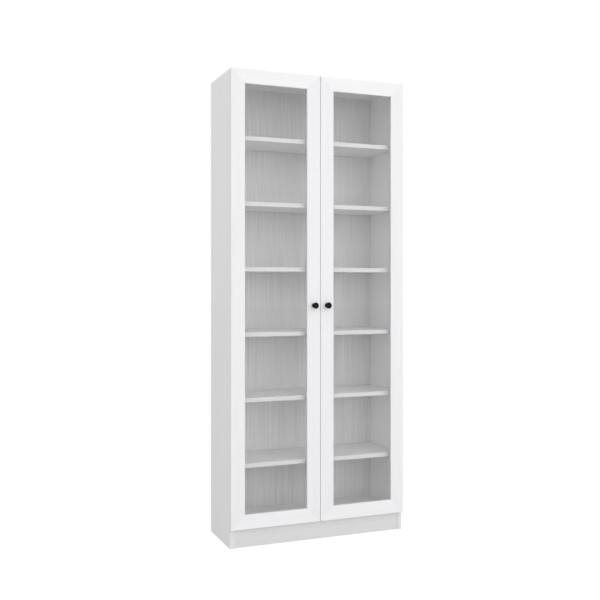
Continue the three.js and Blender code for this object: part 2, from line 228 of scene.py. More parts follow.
def grain(finish, axis):
    """The foil's grain: 0 where it is palest, and about 1 in its darkest streaks and pores."""
    broad = finish.noise(along(axis, 38, 0.9), detail=2, distortion=0.4)
    fine = finish.noise(along(axis, 330, 3.2), detail=3, roughness=0.62, distortion=0.15)
    pores = finish.noise(along(axis, 1500, 26), detail=2, roughness=0.5)
    streaks = finish.band(fine, 0.34, 0.68) * 0.62 + finish.band(broad, 0.3, 0.7) * 0.23
    return streaks + finish.band(pores, 0.6, 0.74) * 0.25


def press(finish, colour, shade):
    """Every foil has the same satin sheen, and the same shallow dents where its grain is dark."""
    finish.set(base_color=colour, roughness=0.42 + shade * 0.12,
               normal=finish.bump(shade, 0.1 * MM, 0.6))
    return finish


def streaked(finish, shade, pale, depth=STREAK_DEPTH, cool=0.0):
    """A grey that falls by that depth where the grain is darkest, and is a little blue if cool."""
    pale_tone, dark_tone = [(tone, tone, tone + cool) for tone in (pale, pale - depth)]
    return finish.blend(shade, pale_tone, dark_tone)


def foil(name, axis, pale, cool=0.0):
    """Foil of one tone all over, with its grain along the axis."""
    finish = Finish(name, specular_ior_level=FOIL_SPECULAR)
    shade = grain(finish, axis)
    return press(finish, streaked(finish, shade, pale, BOLD_STREAK_DEPTH, cool), shade)


def foil_behind_shaded_tape(finish, front):
    """0 on the edge tape of a board whose front is at that depth, where the greyer tone paints shade, and 1
    on the foil behind it.
    """
    return finish.band(finish.axis("Y"), front + 0.6 * MM, front + 1.2 * MM)


def level_foil(name, front):
    """A level board's front edge has a tape whose greyer tone is painted shade on that edge."""
    finish = Finish(name, specular_ior_level=FOIL_SPECULAR)
    shade = grain(finish, "X")
    tones = {part: streaked(finish, shade, pale) for part, pale in LEVEL_SHADE_TONES.items()}
    colour = finish.blend(foil_behind_shaded_tape(finish, front), tones["shaded_tape"], tones["faces"])
    return press(finish, colour, shade)


def side_foil():
    """The sides' inner faces get a lighter tone, which is painted light, and their outer faces a darker
    one, which is painted shade; their edge tape is greyer still, which paints shade on the front edges.
    """
    finish = Finish("side_foil", specular_ior_level=FOIL_SPECULAR)
    shade = grain(finish, "Z")
    tones = {part: streaked(finish, shade, pale) for part, pale in SIDE_LIGHT_AND_SHADE_TONES.items()}
    across = finish.math("ABSOLUTE", finish.axis("X"), 0)
    # The outer faces get the darker tone, which is painted shade.
    shaded_outside = finish.band(across, -inside_x, -inside_x + 2 * MM)
    faces = finish.blend(shaded_outside, tones["lit_inside"], tones["shaded_outside"])
    # The edge tape's greyer tone is painted shade.
    colour = finish.blend(foil_behind_shaded_tape(finish, case_front), tones["shaded_tape"], faces)
    return press(finish, colour, shade)


case_upright = side_foil()
shelf_foil = level_foil("shelf_foil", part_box("shelf_1")[0].y)
end_foil = level_foil("end_foil", case_front)
shaded_plinth_foil = foil("shaded_plinth_foil", "X", PLINTH_SHADED_TONE)
stile_foil = foil("stile_foil", "Z", STILE_TONE, cool=0.015)
# The rails are painted a shade lighter than the stiles, for the light they catch with their grain running
# across.
lit_rail_foil = foil("lit_rail_foil", "X", RAIL_LIT_TONE, cool=0.012)
print("foils:", [m.name for m in bpy.data.materials])

# %% [markdown]
# ## The thin back
#
# The back is 3 mm hardboard. Its face to the shelves has a printed grain of its own: fine upright
# streaks about 3 mm wide, which show behind the glass. Its other face is bare pressed fibre, brown and
# mottled. One material does both: a mask on the depth coordinate picks the side.

# %% Printed face and bare fibre
def back_finish():
    finish = Finish("back_board", specular_ior_level=0.3)
    fine = finish.noise((330, 60, 3.2), detail=2, roughness=0.5, distortion=0.1)
    broad = finish.noise((45, 10, 1.0), detail=2, distortion=0.4)
    streaks = finish.band(fine, 0.33, 0.67) * 0.8 + finish.band(broad, 0.3, 0.7) * 0.2
    printed = finish.blend(streaks, (0.775, 0.77, 0.775), (0.645, 0.64, 0.645))
    fibres = finish.noise((900, 900, 420), detail=4, roughness=0.7)
    clouds = finish.noise((45, 45, 45), detail=3)
    bare = finish.blend(fibres * 0.7 + clouds * 0.3, (0.20, 0.125, 0.07), (0.40, 0.28, 0.175))
    middle = (back_low.y + back_high.y) / 2
    rear = finish.band(finish.axis("Y"), middle - 0.5 * MM, middle + 0.5 * MM)
    height = streaks * (1 - rear) + fibres * rear * 0.8
    finish.set(
        base_color=finish.blend(rear, printed, bare),
        roughness=0.46 + rear * 0.4,
        normal=finish.bump(height, 0.14 * MM, 0.7),
    )
    return finish


back_board = back_finish()

# %% [markdown]
# ## Glass, plastic and metal
#
# Window glass lets most light straight through. Each of its faces mirrors about 4 per cent head on, and
# much more at a glancing angle. A Transparent shader mixed with a glossy one does that, and lamps reach
# the shelves behind it. The share here is 1.3 per cent, less than real glass has, so that the shelves
# stay clear. It grows with the fifth power of how glancing the view is, the same from both sides of a
# face, because a Fresnel node sees total reflection inside a pane that doesn't bend light, and goes
# dark. The knobs are powder-coated black, the hinges nickel-plated, the screws zinc.

# %% Pane, bead, knob and metals
HEAD_ON_MIRROR = 0.013


def pane_finish():
    finish = Finish("clear_pane", base_color=(0.95, 0.96, 0.955), metallic=1.0)
    smears = finish.noise((9, 9, 5), detail=4, roughness=0.6, distortion=1.2)
    finish.set(roughness=0.015 + finish.band(smears, 0.45, 0.8) * 0.05)
    through = finish.node("ShaderNodeBsdfTransparent", Color=(0.997, 0.998, 0.9975))
    glancing = finish.node("ShaderNodeLayerWeight", "Facing", Blend=0.5)
    mirror = glancing ** 5 * (1 - HEAD_ON_MIRROR) + HEAD_ON_MIRROR
    coated = Wire(finish, finish.shader.outputs[0])
    finish.feed(finish.output.inputs["Surface"],
                finish.node("ShaderNodeMixShader", input0=mirror, input1=through, input2=coated))
    return finish


def plastic_finish(name, light, dark, roughness):
    finish = Finish(name, specular_ior_level=0.4)
    mottle = finish.noise((700, 700, 700), detail=3, roughness=0.6)
    finish.set(
        base_color=finish.blend(mottle, light, dark),
        roughness=roughness + mottle * 0.15,
        normal=finish.bump(mottle, 0.03 * MM, 0.5),
    )
    return finish


def plated_finish(name, bright, dull, roughness, brushing):
    finish = Finish(name, metallic=1.0)
    brushed = finish.noise(brushing, detail=3, roughness=0.6)
    clouds = finish.noise((70, 70, 70), detail=2, distortion=0.3)
    wear = finish.band(clouds, 0.35, 0.8)
    finish.set(
        base_color=finish.blend(wear * 0.5 + brushed * 0.5, bright, dull),
        roughness=roughness + brushed * 0.08 + wear * 0.06,
        normal=finish.bump(brushed, 0.015 * MM, 0.5),
    )
    return finish


pane = pane_finish()
bead_plastic = plastic_finish("bead_plastic", (0.80, 0.80, 0.81), (0.74, 0.74, 0.75), 0.38)
pin_plastic = plastic_finish("pin_plastic", (0.80, 0.80, 0.81), (0.72, 0.72, 0.73), 0.3)
bumper_silicone = plastic_finish("bumper_silicone", (0.72, 0.73, 0.73), (0.62, 0.63, 0.63), 0.18)
knob_black = plastic_finish("knob_powder_coat", (0.003, 0.003, 0.003), (0.007, 0.007, 0.007), 0.42)
knob_black.set(specular_ior_level=0.16)
nickel = plated_finish("hinge_nickel", (0.74, 0.72, 0.69), (0.66, 0.64, 0.61), 0.2, (90, 90, 1400))
zinc = plated_finish("bright_zinc", (0.70, 0.71, 0.73), (0.60, 0.61, 0.63), 0.24, (900, 900, 900))
print("materials:", len(bpy.data.materials))

# %% [markdown]
# ## Making and finishing a piece
#
# Each shape is a small bmesh that operators work on. `block` starts from a cube, `prism` pulls a
# section along a line, and `turned` spins a profile round an axis. `combine` joins or cuts two closed
# shapes. `piece` puts the result into the scene: it mirrors the left half's shapes to the right, merges
# doubles, makes the faces point outwards, parents the piece to the body it moves with, and hides the
# imported parts that it stands for.

# %% Shape helpers
MERGE_DISTANCE = 0.5e-6
SHARP_EDGE = 0.3  # radians between two faces, above which their edge gets rounded


def block(low, high):
    bm = bmesh.new()
    bmesh.ops.create_cube(bm, size=1)
    bmesh.ops.scale(bm, vec=Vector(high) - Vector(low), verts=bm.verts)
    bmesh.ops.translate(bm, vec=(Vector(low) + Vector(high)) / 2, verts=bm.verts)
    return bm


def prism(section, sweep):
    """A flat outline of 3D points, pulled along the sweep vector."""
    bm = bmesh.new()
    face = bm.faces.new([bm.verts.new(point) for point in section])
    pulled = bmesh.ops.extrude_face_region(bm, geom=[face])["geom"]
    moved = [item for item in pulled if isinstance(item, bmesh.types.BMVert)]
    bmesh.ops.translate(bm, vec=sweep, verts=moved)
    bmesh.ops.recalc_face_normals(bm, faces=bm.faces)
    return bm


def turned(profile, centre, axis, steps=48):
    """Spins (radius, distance along the axis) points round the axis through the centre."""
    bm = bmesh.new()
    axis = Vector(axis)
    outwards = axis.orthogonal().normalized()
    verts = [bm.verts.new(Vector(centre) + outwards * r + axis * d) for r, d in profile]
    edges = [bm.edges.new(pair) for pair in zip(verts, verts[1:])]
    bmesh.ops.spin(bm, geom=verts + edges, cent=centre, axis=axis, dvec=(0, 0, 0),
                   angle=math.tau, steps=steps, use_merge=True)
    bmesh.ops.remove_doubles(bm, verts=bm.verts, dist=MERGE_DISTANCE)
    bmesh.ops.recalc_face_normals(bm, faces=bm.faces)
    return bm


def arc(centre, radius, start, end, steps=6):
    """Points on an arc, with the angles in degrees."""
    turns = [math.radians(start + (end - start) * i / steps) for i in range(steps + 1)]
    return [(centre[0] + radius * math.cos(t), centre[1] + radius * math.sin(t)) for t in turns]


def round_edges(bm, radius, segments=2, where=None):
    closed = [edge for edge in bm.edges if len(edge.link_faces) == 2]
    edges = [edge for edge in closed if edge.calc_face_angle() > SHARP_EDGE]
    if where:
        edges = [edge for edge in edges if where(edge)]
    bmesh.ops.bevel(bm, geom=edges, offset=radius, offset_type="OFFSET", affect="EDGES",
                    segments=segments, profile=0.5, material=-1, clamp_overlap=True)
    return bm


def runs_along(axis):
    """A test for edges that are parallel to one axis, given by its index."""
    def test(edge):
        way = (edge.verts[1].co - edge.verts[0].co).normalized()
        return abs(way[axis]) > 0.999
    return test


def combine(bm, other, operation):
    """Joins ('UNION') or cuts ('DIFFERENCE') two closed shapes, and returns the result."""
    objects = []
    for shape in (bm, other):
        bmesh.ops.recalc_face_normals(shape, faces=shape.faces)
        mesh = bpy.data.meshes.new("scrap")
        shape.to_mesh(mesh)
        shape.free()
        objects.append(bpy.data.objects.new("scrap", mesh))
        bpy.context.scene.collection.objects.link(objects[-1])
    modifier = objects[0].modifiers.new("combine", "BOOLEAN")
    modifier.operation = operation
    modifier.solver = "EXACT"
    modifier.object = objects[1]
    evaluated = objects[0].evaluated_get(bpy.context.evaluated_depsgraph_get())
    result = bmesh.new()
    result.from_mesh(evaluated.to_mesh())
    evaluated.to_mesh_clear()
    for item in objects:
        mesh = item.data
        bpy.data.objects.remove(item)
        bpy.data.meshes.remove(mesh)
    return result


def gather(shapes):
    """Several shapes in one bmesh, each still its own closed shell."""
    whole = bmesh.new()
    for shape in shapes:
        mesh = bpy.data.meshes.new("scrap")
        shape.to_mesh(mesh)
        shape.free()
        whole.from_mesh(mesh)
        bpy.data.meshes.remove(mesh)
    return whole


# %% Put a piece into the scene
def piece(name, bm, body, finish, stands_for=(), mirrored=False, smooth=None):
    """Faces stay flat unless smooth is given: the angle in degrees above which an edge stays sharp."""
    if mirrored:
        bmesh.ops.scale(bm, vec=(-1, 1, 1), verts=bm.verts)
    bmesh.ops.remove_doubles(bm, verts=bm.verts, dist=MERGE_DISTANCE)
    bmesh.ops.recalc_face_normals(bm, faces=bm.faces)
    mesh = bpy.data.meshes.new(name)
    bm.to_mesh(mesh)
    bm.free()
    if smooth:
        mesh.shade_smooth()
        mesh.set_sharp_from_angle(angle=math.radians(smooth))
    mesh.materials.append(finish.material)
    made = bpy.data.objects.new(name, mesh)
    bpy.context.scene.collection.objects.link(made)
    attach(made, body)
    if stands_for:
        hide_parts(*stands_for)


# %% [markdown]
# ## The boards of the case
#
# A laminated board is a plain slab with its edges eased by less than a millimetre, which is what
# catches the light along a shelf. Blocks with bevelled edges do it. The sides need the groove for the
# back as well, so they are a section pulled upwards.

# %% Sides, shelves and ends
BOARD_EASE = 0.7 * MM
GROOVE_DEPTH = 8 * MM
groove_front, groove_back = back_low.y - 0.2 * MM, back_high.y + 0.2 * MM


def side_board():
    groove_x = inside_x - GROOVE_DEPTH
    outline = [
        (panel_low.x, case_front), (inside_x, case_front), (inside_x, groove_front),
        (groove_x, groove_front), (groove_x, groove_back), (inside_x, groove_back),
        (inside_x, case_back), (panel_low.x, case_back),
    ]
    bm = prism([(x, y, panel_low.z) for x, y in outline], UP * (panel_high.z - panel_low.z))
    return round_edges(bm, BOARD_EASE, 2, lambda edge: max(v.co.x for v in edge.verts) > groove_x + MM
                       or min(v.co.x for v in edge.verts) < panel_low.x + MM)


for side in SIDES:
    piece(f"side_board_{side}", side_board(), "carcass", case_upright,
          [f"side_panel_{side}"], mirrored=side == "right")

level_boards = ["plinth_board"] + [f"shelf_{i}" for i in range(1, 7)]
for node in level_boards:
    bm = round_edges(block(*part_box(node)), BOARD_EASE, 3)
    finish = shaded_plinth_foil if node == "plinth_board" else shelf_foil
    piece(f"{node}_foiled", bm, "carcass", finish, [node])

# %% [markdown]
# The top and the bottom lie between the sides. They hold the back in a groove too, so they are a
# section pulled across, and each has four round pockets for the cam locks. A boolean cut drills them.

# %% Top and bottom with their cam pockets
CAM_NODES = {end: [f"{end}_cam_lock_{i}" for i in range(1, 5)] for end in ("top", "bottom")}
POCKET_CLEAR = 0.25 * MM
POCKET_FLOOR_CLEAR = 0.3 * MM


def drum(radius, centre, low, high, steps=32):
    return turned([(0, low), (radius, low), (radius, high), (0, high)], (centre.x, centre.y, 0), UP, steps)


def end_board(end):
    """The top or bottom board: its section, with the groove on its inner side, pulled across."""
    low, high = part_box(f"{end}_panel")
    outer, inner = (high.z, low.z) if end == "top" else (low.z, high.z)
    groove_z = inner + math.copysign(GROOVE_DEPTH, outer - inner)
    outline = [
        (case_front, outer), (case_back, outer), (case_back, inner), (groove_back, inner),
        (groove_back, groove_z), (groove_front, groove_z), (groove_front, inner), (case_front, inner),
    ]
    bm = prism([(low.x, y, z) for y, z in outline], RIGHT * (high.x - low.x))
    return round_edges(bm, BOARD_EASE, 2, lambda edge: max(v.co.z for v in edge.verts) > high.z - 0.1 * MM
                       or min(v.co.z for v in edge.verts) < low.z + 0.1 * MM)


for end, cams in CAM_NODES.items():
    bm = end_board(end)
    low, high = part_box(f"{end}_panel")
    for node in cams:
        cam_low, cam_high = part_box(node)
        centre = (cam_low + cam_high) / 2
        radius = (cam_high.x - cam_low.x) / 2 + POCKET_CLEAR
        pocket = (cam_low.z - POCKET_FLOOR_CLEAR, high.z + MM)
        if end == "bottom":
            pocket = (low.z - MM, cam_high.z + POCKET_FLOOR_CLEAR)
        bm = combine(bm, drum(radius, centre, *pocket), "DIFFERENCE")
    piece(f"{end}_board", bm, "carcass", end_foil, [f"{end}_panel"])

piece("back_sheet", round_edges(block(back_low, back_high), 0.3 * MM, 1), "carcass",
      back_board, ["back_panel"])
print("boards made:", len(level_boards) + len(SIDES) + len(CAM_NODES) + 1)

# %% [markdown]
# ## Door frames
#
# Each door has four members of one section: a rounded front, a rebate at the back for the glass. The
# section is pulled along the member, and its ends are slid along by their distance from the outer
# edge, which is what a mitre saw set to 45 degrees does.

# %% One section, four members
MITRE_GAP = 0.12 * MM
thickness = door_back - door_front
rebate_depth = glass_low.y - 0.2 * MM - door_front
rebate_edge = glass_low.x - door_low.x - 0.5 * MM
EDGE_RADIUS = 1.3 * MM


def member_section():
    """(distance in from the outer edge, distance back from the front face), as a rounded outline."""
    r = EDGE_RADIUS
    ease = 0.5 * MM
    return [
        *arc((r, r), r, 180, 270, 5),
        *arc((member_width - r, r), r, 270, 360, 5),
        (member_width, rebate_depth - ease), (member_width - ease, rebate_depth),
        (rebate_edge, rebate_depth), (rebate_edge, thickness),
        (ease, thickness), (0, thickness - ease),
    ]


def mitred_member(section, corner, way, inward, length, front, gap):
    """A section pulled from one outer corner of a frame to the next, mitred at both ends."""
    bm = prism([corner + inward * w + Vector((0, front + t, 0)) for w, t in section], way * length)
    for vert in bm.verts:
        from_start = (vert.co - corner).dot(way)
        slide = (vert.co - corner).dot(inward) + gap
        vert.co += way * (slide if from_start < length / 2 else -slide)
    return bm


door_width = door_meeting.x - door_edge.x
door_height = door_high.z - door_low.z
MEMBERS = {
    "hinge_stile": (door_edge, UP, RIGHT, door_height),
    "knob_stile": (Vector((door_meeting.x, 0, door_low.z)), UP, -RIGHT, door_height),
    "bottom_rail": (door_edge, RIGHT, UP, door_width),
    "top_rail": (Vector((door_low.x, 0, door_high.z)), RIGHT, -UP, door_width),
}
cup_low, cup_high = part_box("hinge_cup_left_1")
cup_x = (cup_low.x + cup_high.x) / 2
cup_floor = cup_low.y
CUP_BORE_RADIUS = 17.7 * MM
CUP_BORE_CLEAR = 0.3 * MM
KNOB_SCREW_BORE_RADIUS = 2.5 * MM
screw_low, screw_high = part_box("knob_screw_left")
knob_low, knob_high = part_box("knob_left")
knob_axis = Vector(((knob_low.x + knob_high.x) / 2, 0, (knob_low.z + knob_high.z) / 2))


def front_drum(radius, x, z, front, back, steps=32):
    return turned([(0, front), (radius, front), (radius, back), (0, back)], (x, 0, z), (0, 1, 0), steps)


def door_member(name):
    corner, way, inward, length = MEMBERS[name]
    bm = mitred_member(member_section(), corner, way, inward, length, door_front, MITRE_GAP)
    bores = []
    if name == "hinge_stile":
        bores = [(CUP_BORE_RADIUS, cup_x, z, cup_floor - CUP_BORE_CLEAR) for z in hinge_heights]
    if name == "knob_stile":
        bores = [(KNOB_SCREW_BORE_RADIUS, knob_axis.x, knob_axis.z, door_front - MM)]
    for radius, x, z, front in bores:
        bm = combine(bm, front_drum(radius, x, z, front, door_back + MM), "DIFFERENCE")
    return bm


for side in SIDES:
    for name in MEMBERS:
        finish = stile_foil if name.endswith("stile") else lit_rail_foil
        piece(f"{name}_{side}", door_member(name), f"{side}_door", finish,
              [f"door_{side}_{name}"], mirrored=side == "right")

# %% [markdown]
# ## Panes and their beads
#
# The pane drops into the rebate from behind. A slim plastic bead, with its inner edge rounded, is
# pressed in after it, in four mitred strips.

# %% Glass and bead
bead_low, bead_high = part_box("glass_bead_left")
bead_depth = bead_high.y - bead_low.y
bead_reach = member_width - (bead_low.x - door_low.x)
BEAD_GAP = 0.05 * MM
BEAD_CORNERS = [
    (bead_low, UP, RIGHT), (Vector((bead_high.x, 0, bead_low.z)), UP, -RIGHT),
    (bead_low, RIGHT, UP), (Vector((bead_low.x, 0, bead_high.z)), RIGHT, -UP),
]


def bead():
    r = bead_depth * 0.85
    rounded = arc((bead_reach - r, bead_depth - r), r, 0, 90, 5)
    section = [(0, 0), (bead_reach, 0), *rounded, (0, bead_depth)]
    strips = []
    for corner, way, inward in BEAD_CORNERS:
        flat = Vector((corner.x, 0, corner.z))
        length = abs((bead_high - bead_low).dot(way))
        strips.append(mitred_member(section, flat, way, inward, length, bead_low.y, BEAD_GAP))
    return gather(strips)


for side in SIDES:
    flipped = side == "right"
    piece(f"pane_{side}", round_edges(block(glass_low, glass_high), 0.5 * MM, 2), f"{side}_door",
          pane, [f"glass_{side}"], mirrored=flipped)
    piece(f"bead_{side}", bead(), f"{side}_door", bead_plastic,
          [f"glass_bead_{side}"], mirrored=flipped, smooth=40)

# %% [markdown]
# ## Knobs
#
# A knob is turned from one bar: a base, a waist, and a mushroom head whose face is slightly dished
# with a soft ring near the rim. It is one profile, spun round the knob's own axis.

# %% Turn the knobs and their screws
def smooth_line(points, steps=6):
    """A curve through the points, so that a turned profile has no corners where it shouldn't."""
    path = [Vector((*point, 0)) for point in points]
    path = [2 * path[0] - path[1], *path, 2 * path[-1] - path[-2]]
    line = []
    for before, start, end, after in zip(path, path[1:], path[2:], path[3:]):
        for i in range(steps):
            t = i / steps
            pull = 2 * start + (end - before) * t + (2 * before - 5 * start + 4 * end - after) * t * t
            line.append((pull + (3 * start - before - 3 * end + after) * t ** 3) / 2)
    return [(p.x, p.y) for p in line] + [(path[-2].x, path[-2].y)]


def knob():
    face, base = knob_low.y, knob_high.y
    rim = (knob_high.x - knob_low.x) / 2
    ring = (rim - 2.6 * MM, face + 0.05 * MM)
    dish = [(0, face + 0.9 * MM), (4 * MM, face + 0.8 * MM), (8 * MM, face + 0.5 * MM), ring]
    head = [ring, (rim - 1 * MM, face + 0.7 * MM), (rim - 0.02 * MM, face + 2.8 * MM),
            (rim - 0.5 * MM, face + 5 * MM), (rim - 2.4 * MM, face + 7.6 * MM), (9.3 * MM, face + 9.8 * MM),
            (8 * MM, face + 13 * MM), (8.3 * MM, face + 17.5 * MM), (9.5 * MM, base - 2.6 * MM)]
    foot = [(10 * MM, base - 1.7 * MM), (10 * MM, base - 0.4 * MM), (9.7 * MM, base),
            (2.4 * MM, base), (2.4 * MM, base - 12 * MM), (0, base - 12 * MM)]
    return turned(smooth_line(dish)[:-1] + smooth_line(head) + foot, knob_axis, (0, 1, 0), 64)


def cross_recess(centre, axis, size, depth):
    """Two crossed tapering blades, the shape that a screwdriver leaves."""
    axis = Vector(axis)
    blades = []
    for turn in (0, 90):
        blade = block((-size, -size * 0.22, -depth), (size, size * 0.22, depth))
        for vert in blade.verts:
            if vert.co.z < 0:
                vert.co.x *= 0.35
        bmesh.ops.rotate(blade, matrix=Matrix.Rotation(math.radians(turn), 3, "Z"), verts=blade.verts)
        blades.append(blade)
    cross = combine(*blades, "UNION")
    bmesh.ops.rotate(cross, matrix=UP.rotation_difference(axis).to_matrix(), verts=cross.verts)
    bmesh.ops.translate(cross, vec=centre, verts=cross.verts)
    return cross


def pan_screw(seat, axis, head_radius, head_height, shank_radius, shank_length):
    """A screw whose head sits on the seat point and whose shank runs back along -axis."""
    r, h = head_radius, head_height
    profile = [(0, -shank_length - shank_radius), (shank_radius, -shank_length), (shank_radius, 0), (r, 0),
               (r, h * 0.35), *[(r * math.cos(t), h * (0.35 + 0.65 * math.sin(t)))
                                for t in (0.3, 0.6, 0.9, 1.2)], (0, h)]
    screw = turned(profile, seat, axis, 24)
    recess = cross_recess(Vector(seat) + Vector(axis) * h, axis, r * 0.6, h * 0.7)
    return combine(screw, recess, "DIFFERENCE")


for side in SIDES:
    flipped = side == "right"
    piece(f"turned_knob_{side}", knob(), f"{side}_door", knob_black, [f"knob_{side}"],
          mirrored=flipped, smooth=35)
    seat = Vector((knob_axis.x, door_back + 0.2 * MM, knob_axis.z))
    screw = pan_screw(seat, (0, 1, 0), 4 * MM, screw_high.y - seat.y, 2 * MM, seat.y - screw_low.y - 2 * MM)
    piece(f"knob_bolt_{side}", screw, f"{side}_door", zinc, [f"knob_screw_{side}"],
          mirrored=flipped, smooth=35)

# %% [markdown]
# ## Concealed hinges
#
# A concealed hinge is made of pressings. The cup is drawn from sheet and has a flange with two screw
# wings. The arm is a channel on a cross-shaped mounting plate, with one screw to move the door
# sideways and one to lock it. A goose-neck link joins them, so that the door clears the case as it
# opens. A real hinge has a second, inner link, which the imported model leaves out, and so does this.

# %% The cup
CUP_RADIUS = 17.5 * MM
CUP_WALL = 1.3 * MM
flange_back = cup_high.y
flange_front = flange_back - 0.9 * MM
CUP_PIN_RADIUS, CUP_PIN_REACH = 1 * MM, 11.2 * MM


def pivot_pin(pivot, z, radius, reach):
    return turned([(0, -reach), (radius, -reach), (radius, reach), (0, reach)],
                  (pivot.x, pivot.y, z), UP, 20)


def hinge_cup(z):
    inner = CUP_RADIUS - CUP_WALL
    soft = 2.2 * MM
    shell = turned([
        (0, cup_floor), *arc((CUP_RADIUS - soft, cup_floor + soft), soft, 270, 360, 5),
        (CUP_RADIUS, flange_front), (19 * MM, flange_front), (19 * MM, flange_back - 0.3 * MM),
        (18.7 * MM, flange_back), *arc((inner + 0.6 * MM, flange_back - 0.6 * MM), 0.6 * MM, 90, 180, 4),
        (inner, cup_floor + CUP_WALL + soft),
        *arc((inner - soft, cup_floor + CUP_WALL + soft), soft, 360, 270, 5), (0, cup_floor + CUP_WALL),
    ], (cup_x, 0, z), (0, 1, 0), 48)
    wings = block((cup_x - 6 * MM, flange_front, z - 28 * MM), (cup_x + 10 * MM, flange_back, z + 28 * MM))
    wings = round_edges(wings, 5 * MM, 5, runs_along(1))
    wings = round_edges(wings, 0.25 * MM, 1)
    wings = combine(wings, front_drum(inner + 0.7 * MM, cup_x, z, flange_front - MM, flange_back + MM, 48),
                    "DIFFERENCE")
    pin = pivot_pin(cup_pivot, z, CUP_PIN_RADIUS, CUP_PIN_REACH)
    return combine(combine(shell, wings, "UNION"), pin, "UNION")


# A screw's size: head radius, head height, shank radius and shank length.
CUP_SCREW = (3.2 * MM, 0.75 * MM, 1.7 * MM, 9 * MM)
PLATE_SCREW = (3.4 * MM, 1.6 * MM, 2 * MM, 10 * MM)
ARM_SCREW = (3 * MM, 1.2 * MM, 1.5 * MM, 3 * MM)


def cup_screws(z):
    seats = [Vector((cup_x + 2 * MM, flange_back - 0.15 * MM, z + turn * 23.5 * MM)) for turn in (-1, 1)]
    return gather([pan_screw(seat, (0, 1, 0), *CUP_SCREW) for seat in seats])


# %% [markdown]
# Seen from above, the arm has a round nose at the pivot and slopes down to its tail, so that outline is
# pulled upwards. Booleans cut the fork for the link, and join on the plate and the pin. The hollow of a
# real arm faces its plate and can't be seen, so this one is solid.

# %% The arm and its mounting plate
ARM_HALF = 7 * MM
ARM_NOSE = 4.4 * MM
FORK_HALF = 5.3 * MM
ARM_PIN_RADIUS, ARM_PIN_REACH = 1.3 * MM, 6.7 * MM


def hinge_arm(z):
    profile = [
        (inside_x + 1.8 * MM, case_front + 24 * MM), (inside_x + 1.8 * MM, case_front + 50 * MM),
        (inside_x + 3.6 * MM, case_front + 50 * MM), (inside_x + 11 * MM, case_front + 36 * MM),
        (arm_pivot.x + ARM_NOSE, case_front + 16 * MM),
        *arc((arm_pivot.x, arm_pivot.y), ARM_NOSE, 0, -180, 12),
        (arm_pivot.x - ARM_NOSE, case_front + 14 * MM),
    ]
    channel = prism([(x, y, z - ARM_HALF) for x, y in profile], UP * 2 * ARM_HALF)
    channel = round_edges(channel, 1.1 * MM, 3, lambda edge: not runs_along(2)(edge)
                          and min(v.co.x for v in edge.verts) > inside_x + 3 * MM)
    slot = block((arm_pivot.x - 8 * MM, case_front - 2 * MM, z - FORK_HALF),
                 (arm_pivot.x + 8 * MM, case_front + 11 * MM, z + FORK_HALF))
    plate = block((inside_x + 0.2 * MM, case_front + 28 * MM, z - 24 * MM),
                  (inside_x + 2.2 * MM, case_front + 46 * MM, z + 24 * MM))
    plate = round_edges(plate, 6 * MM, 5, runs_along(0))
    plate = round_edges(plate, 0.5 * MM, 2,
                        lambda edge: max(v.co.x for v in edge.verts) > inside_x + 2 * MM)
    pin = pivot_pin(arm_pivot, z, ARM_PIN_RADIUS, ARM_PIN_REACH)
    return combine(combine(combine(channel, slot, "DIFFERENCE"), plate, "UNION"), pin, "UNION")


def arm_screws(z):
    """Two screws hold the plate, and two on the arm move and lock it."""
    seats = [Vector((inside_x + 2.1 * MM, case_front + 37 * MM, z + turn * 16.5 * MM)) for turn in (-1, 1)]
    shapes = [pan_screw(seat, RIGHT, *PLATE_SCREW) for seat in seats]
    # The tail falls 7.4 mm in 14 mm, and its screw leans a little less than that.
    tail_slope = 0.95 * (11 - 3.6) / 14
    slope = Vector((1, tail_slope, 0)).normalized()
    shapes.append(pan_screw(Vector((inside_x + 7 * MM, case_front + 43 * MM, z)), slope, *ARM_SCREW))
    rise = (arm_pivot.x + ARM_NOSE - inside_x - 11 * MM) / (20 * MM)
    tilt = Vector((1, rise, 0)).normalized()
    shapes.append(pan_screw(Vector((inside_x + 13.6 * MM, case_front + 27 * MM, z)), tilt, *ARM_SCREW))
    return gather(shapes)


# %% [markdown]
# The link is a bent strip with an eye at each end. Its middle line is a smooth curve through the two
# pivots and three bends. Points on both sides of that line make the outline, and the eyes are drums that
# are joined on and bored.

# %% The goose-neck link
LINK_HALF = 5 * MM
LINK_HALF_THICK = 1.2 * MM
ARM_EYE_RADIUS, CUP_EYE_RADIUS = 2.4 * MM, 2.1 * MM
EYE_CLEAR = 0.3 * MM
LINK_BENDS = [(-4.6, 6.2), (3, 6.8), (9.8, 2)]


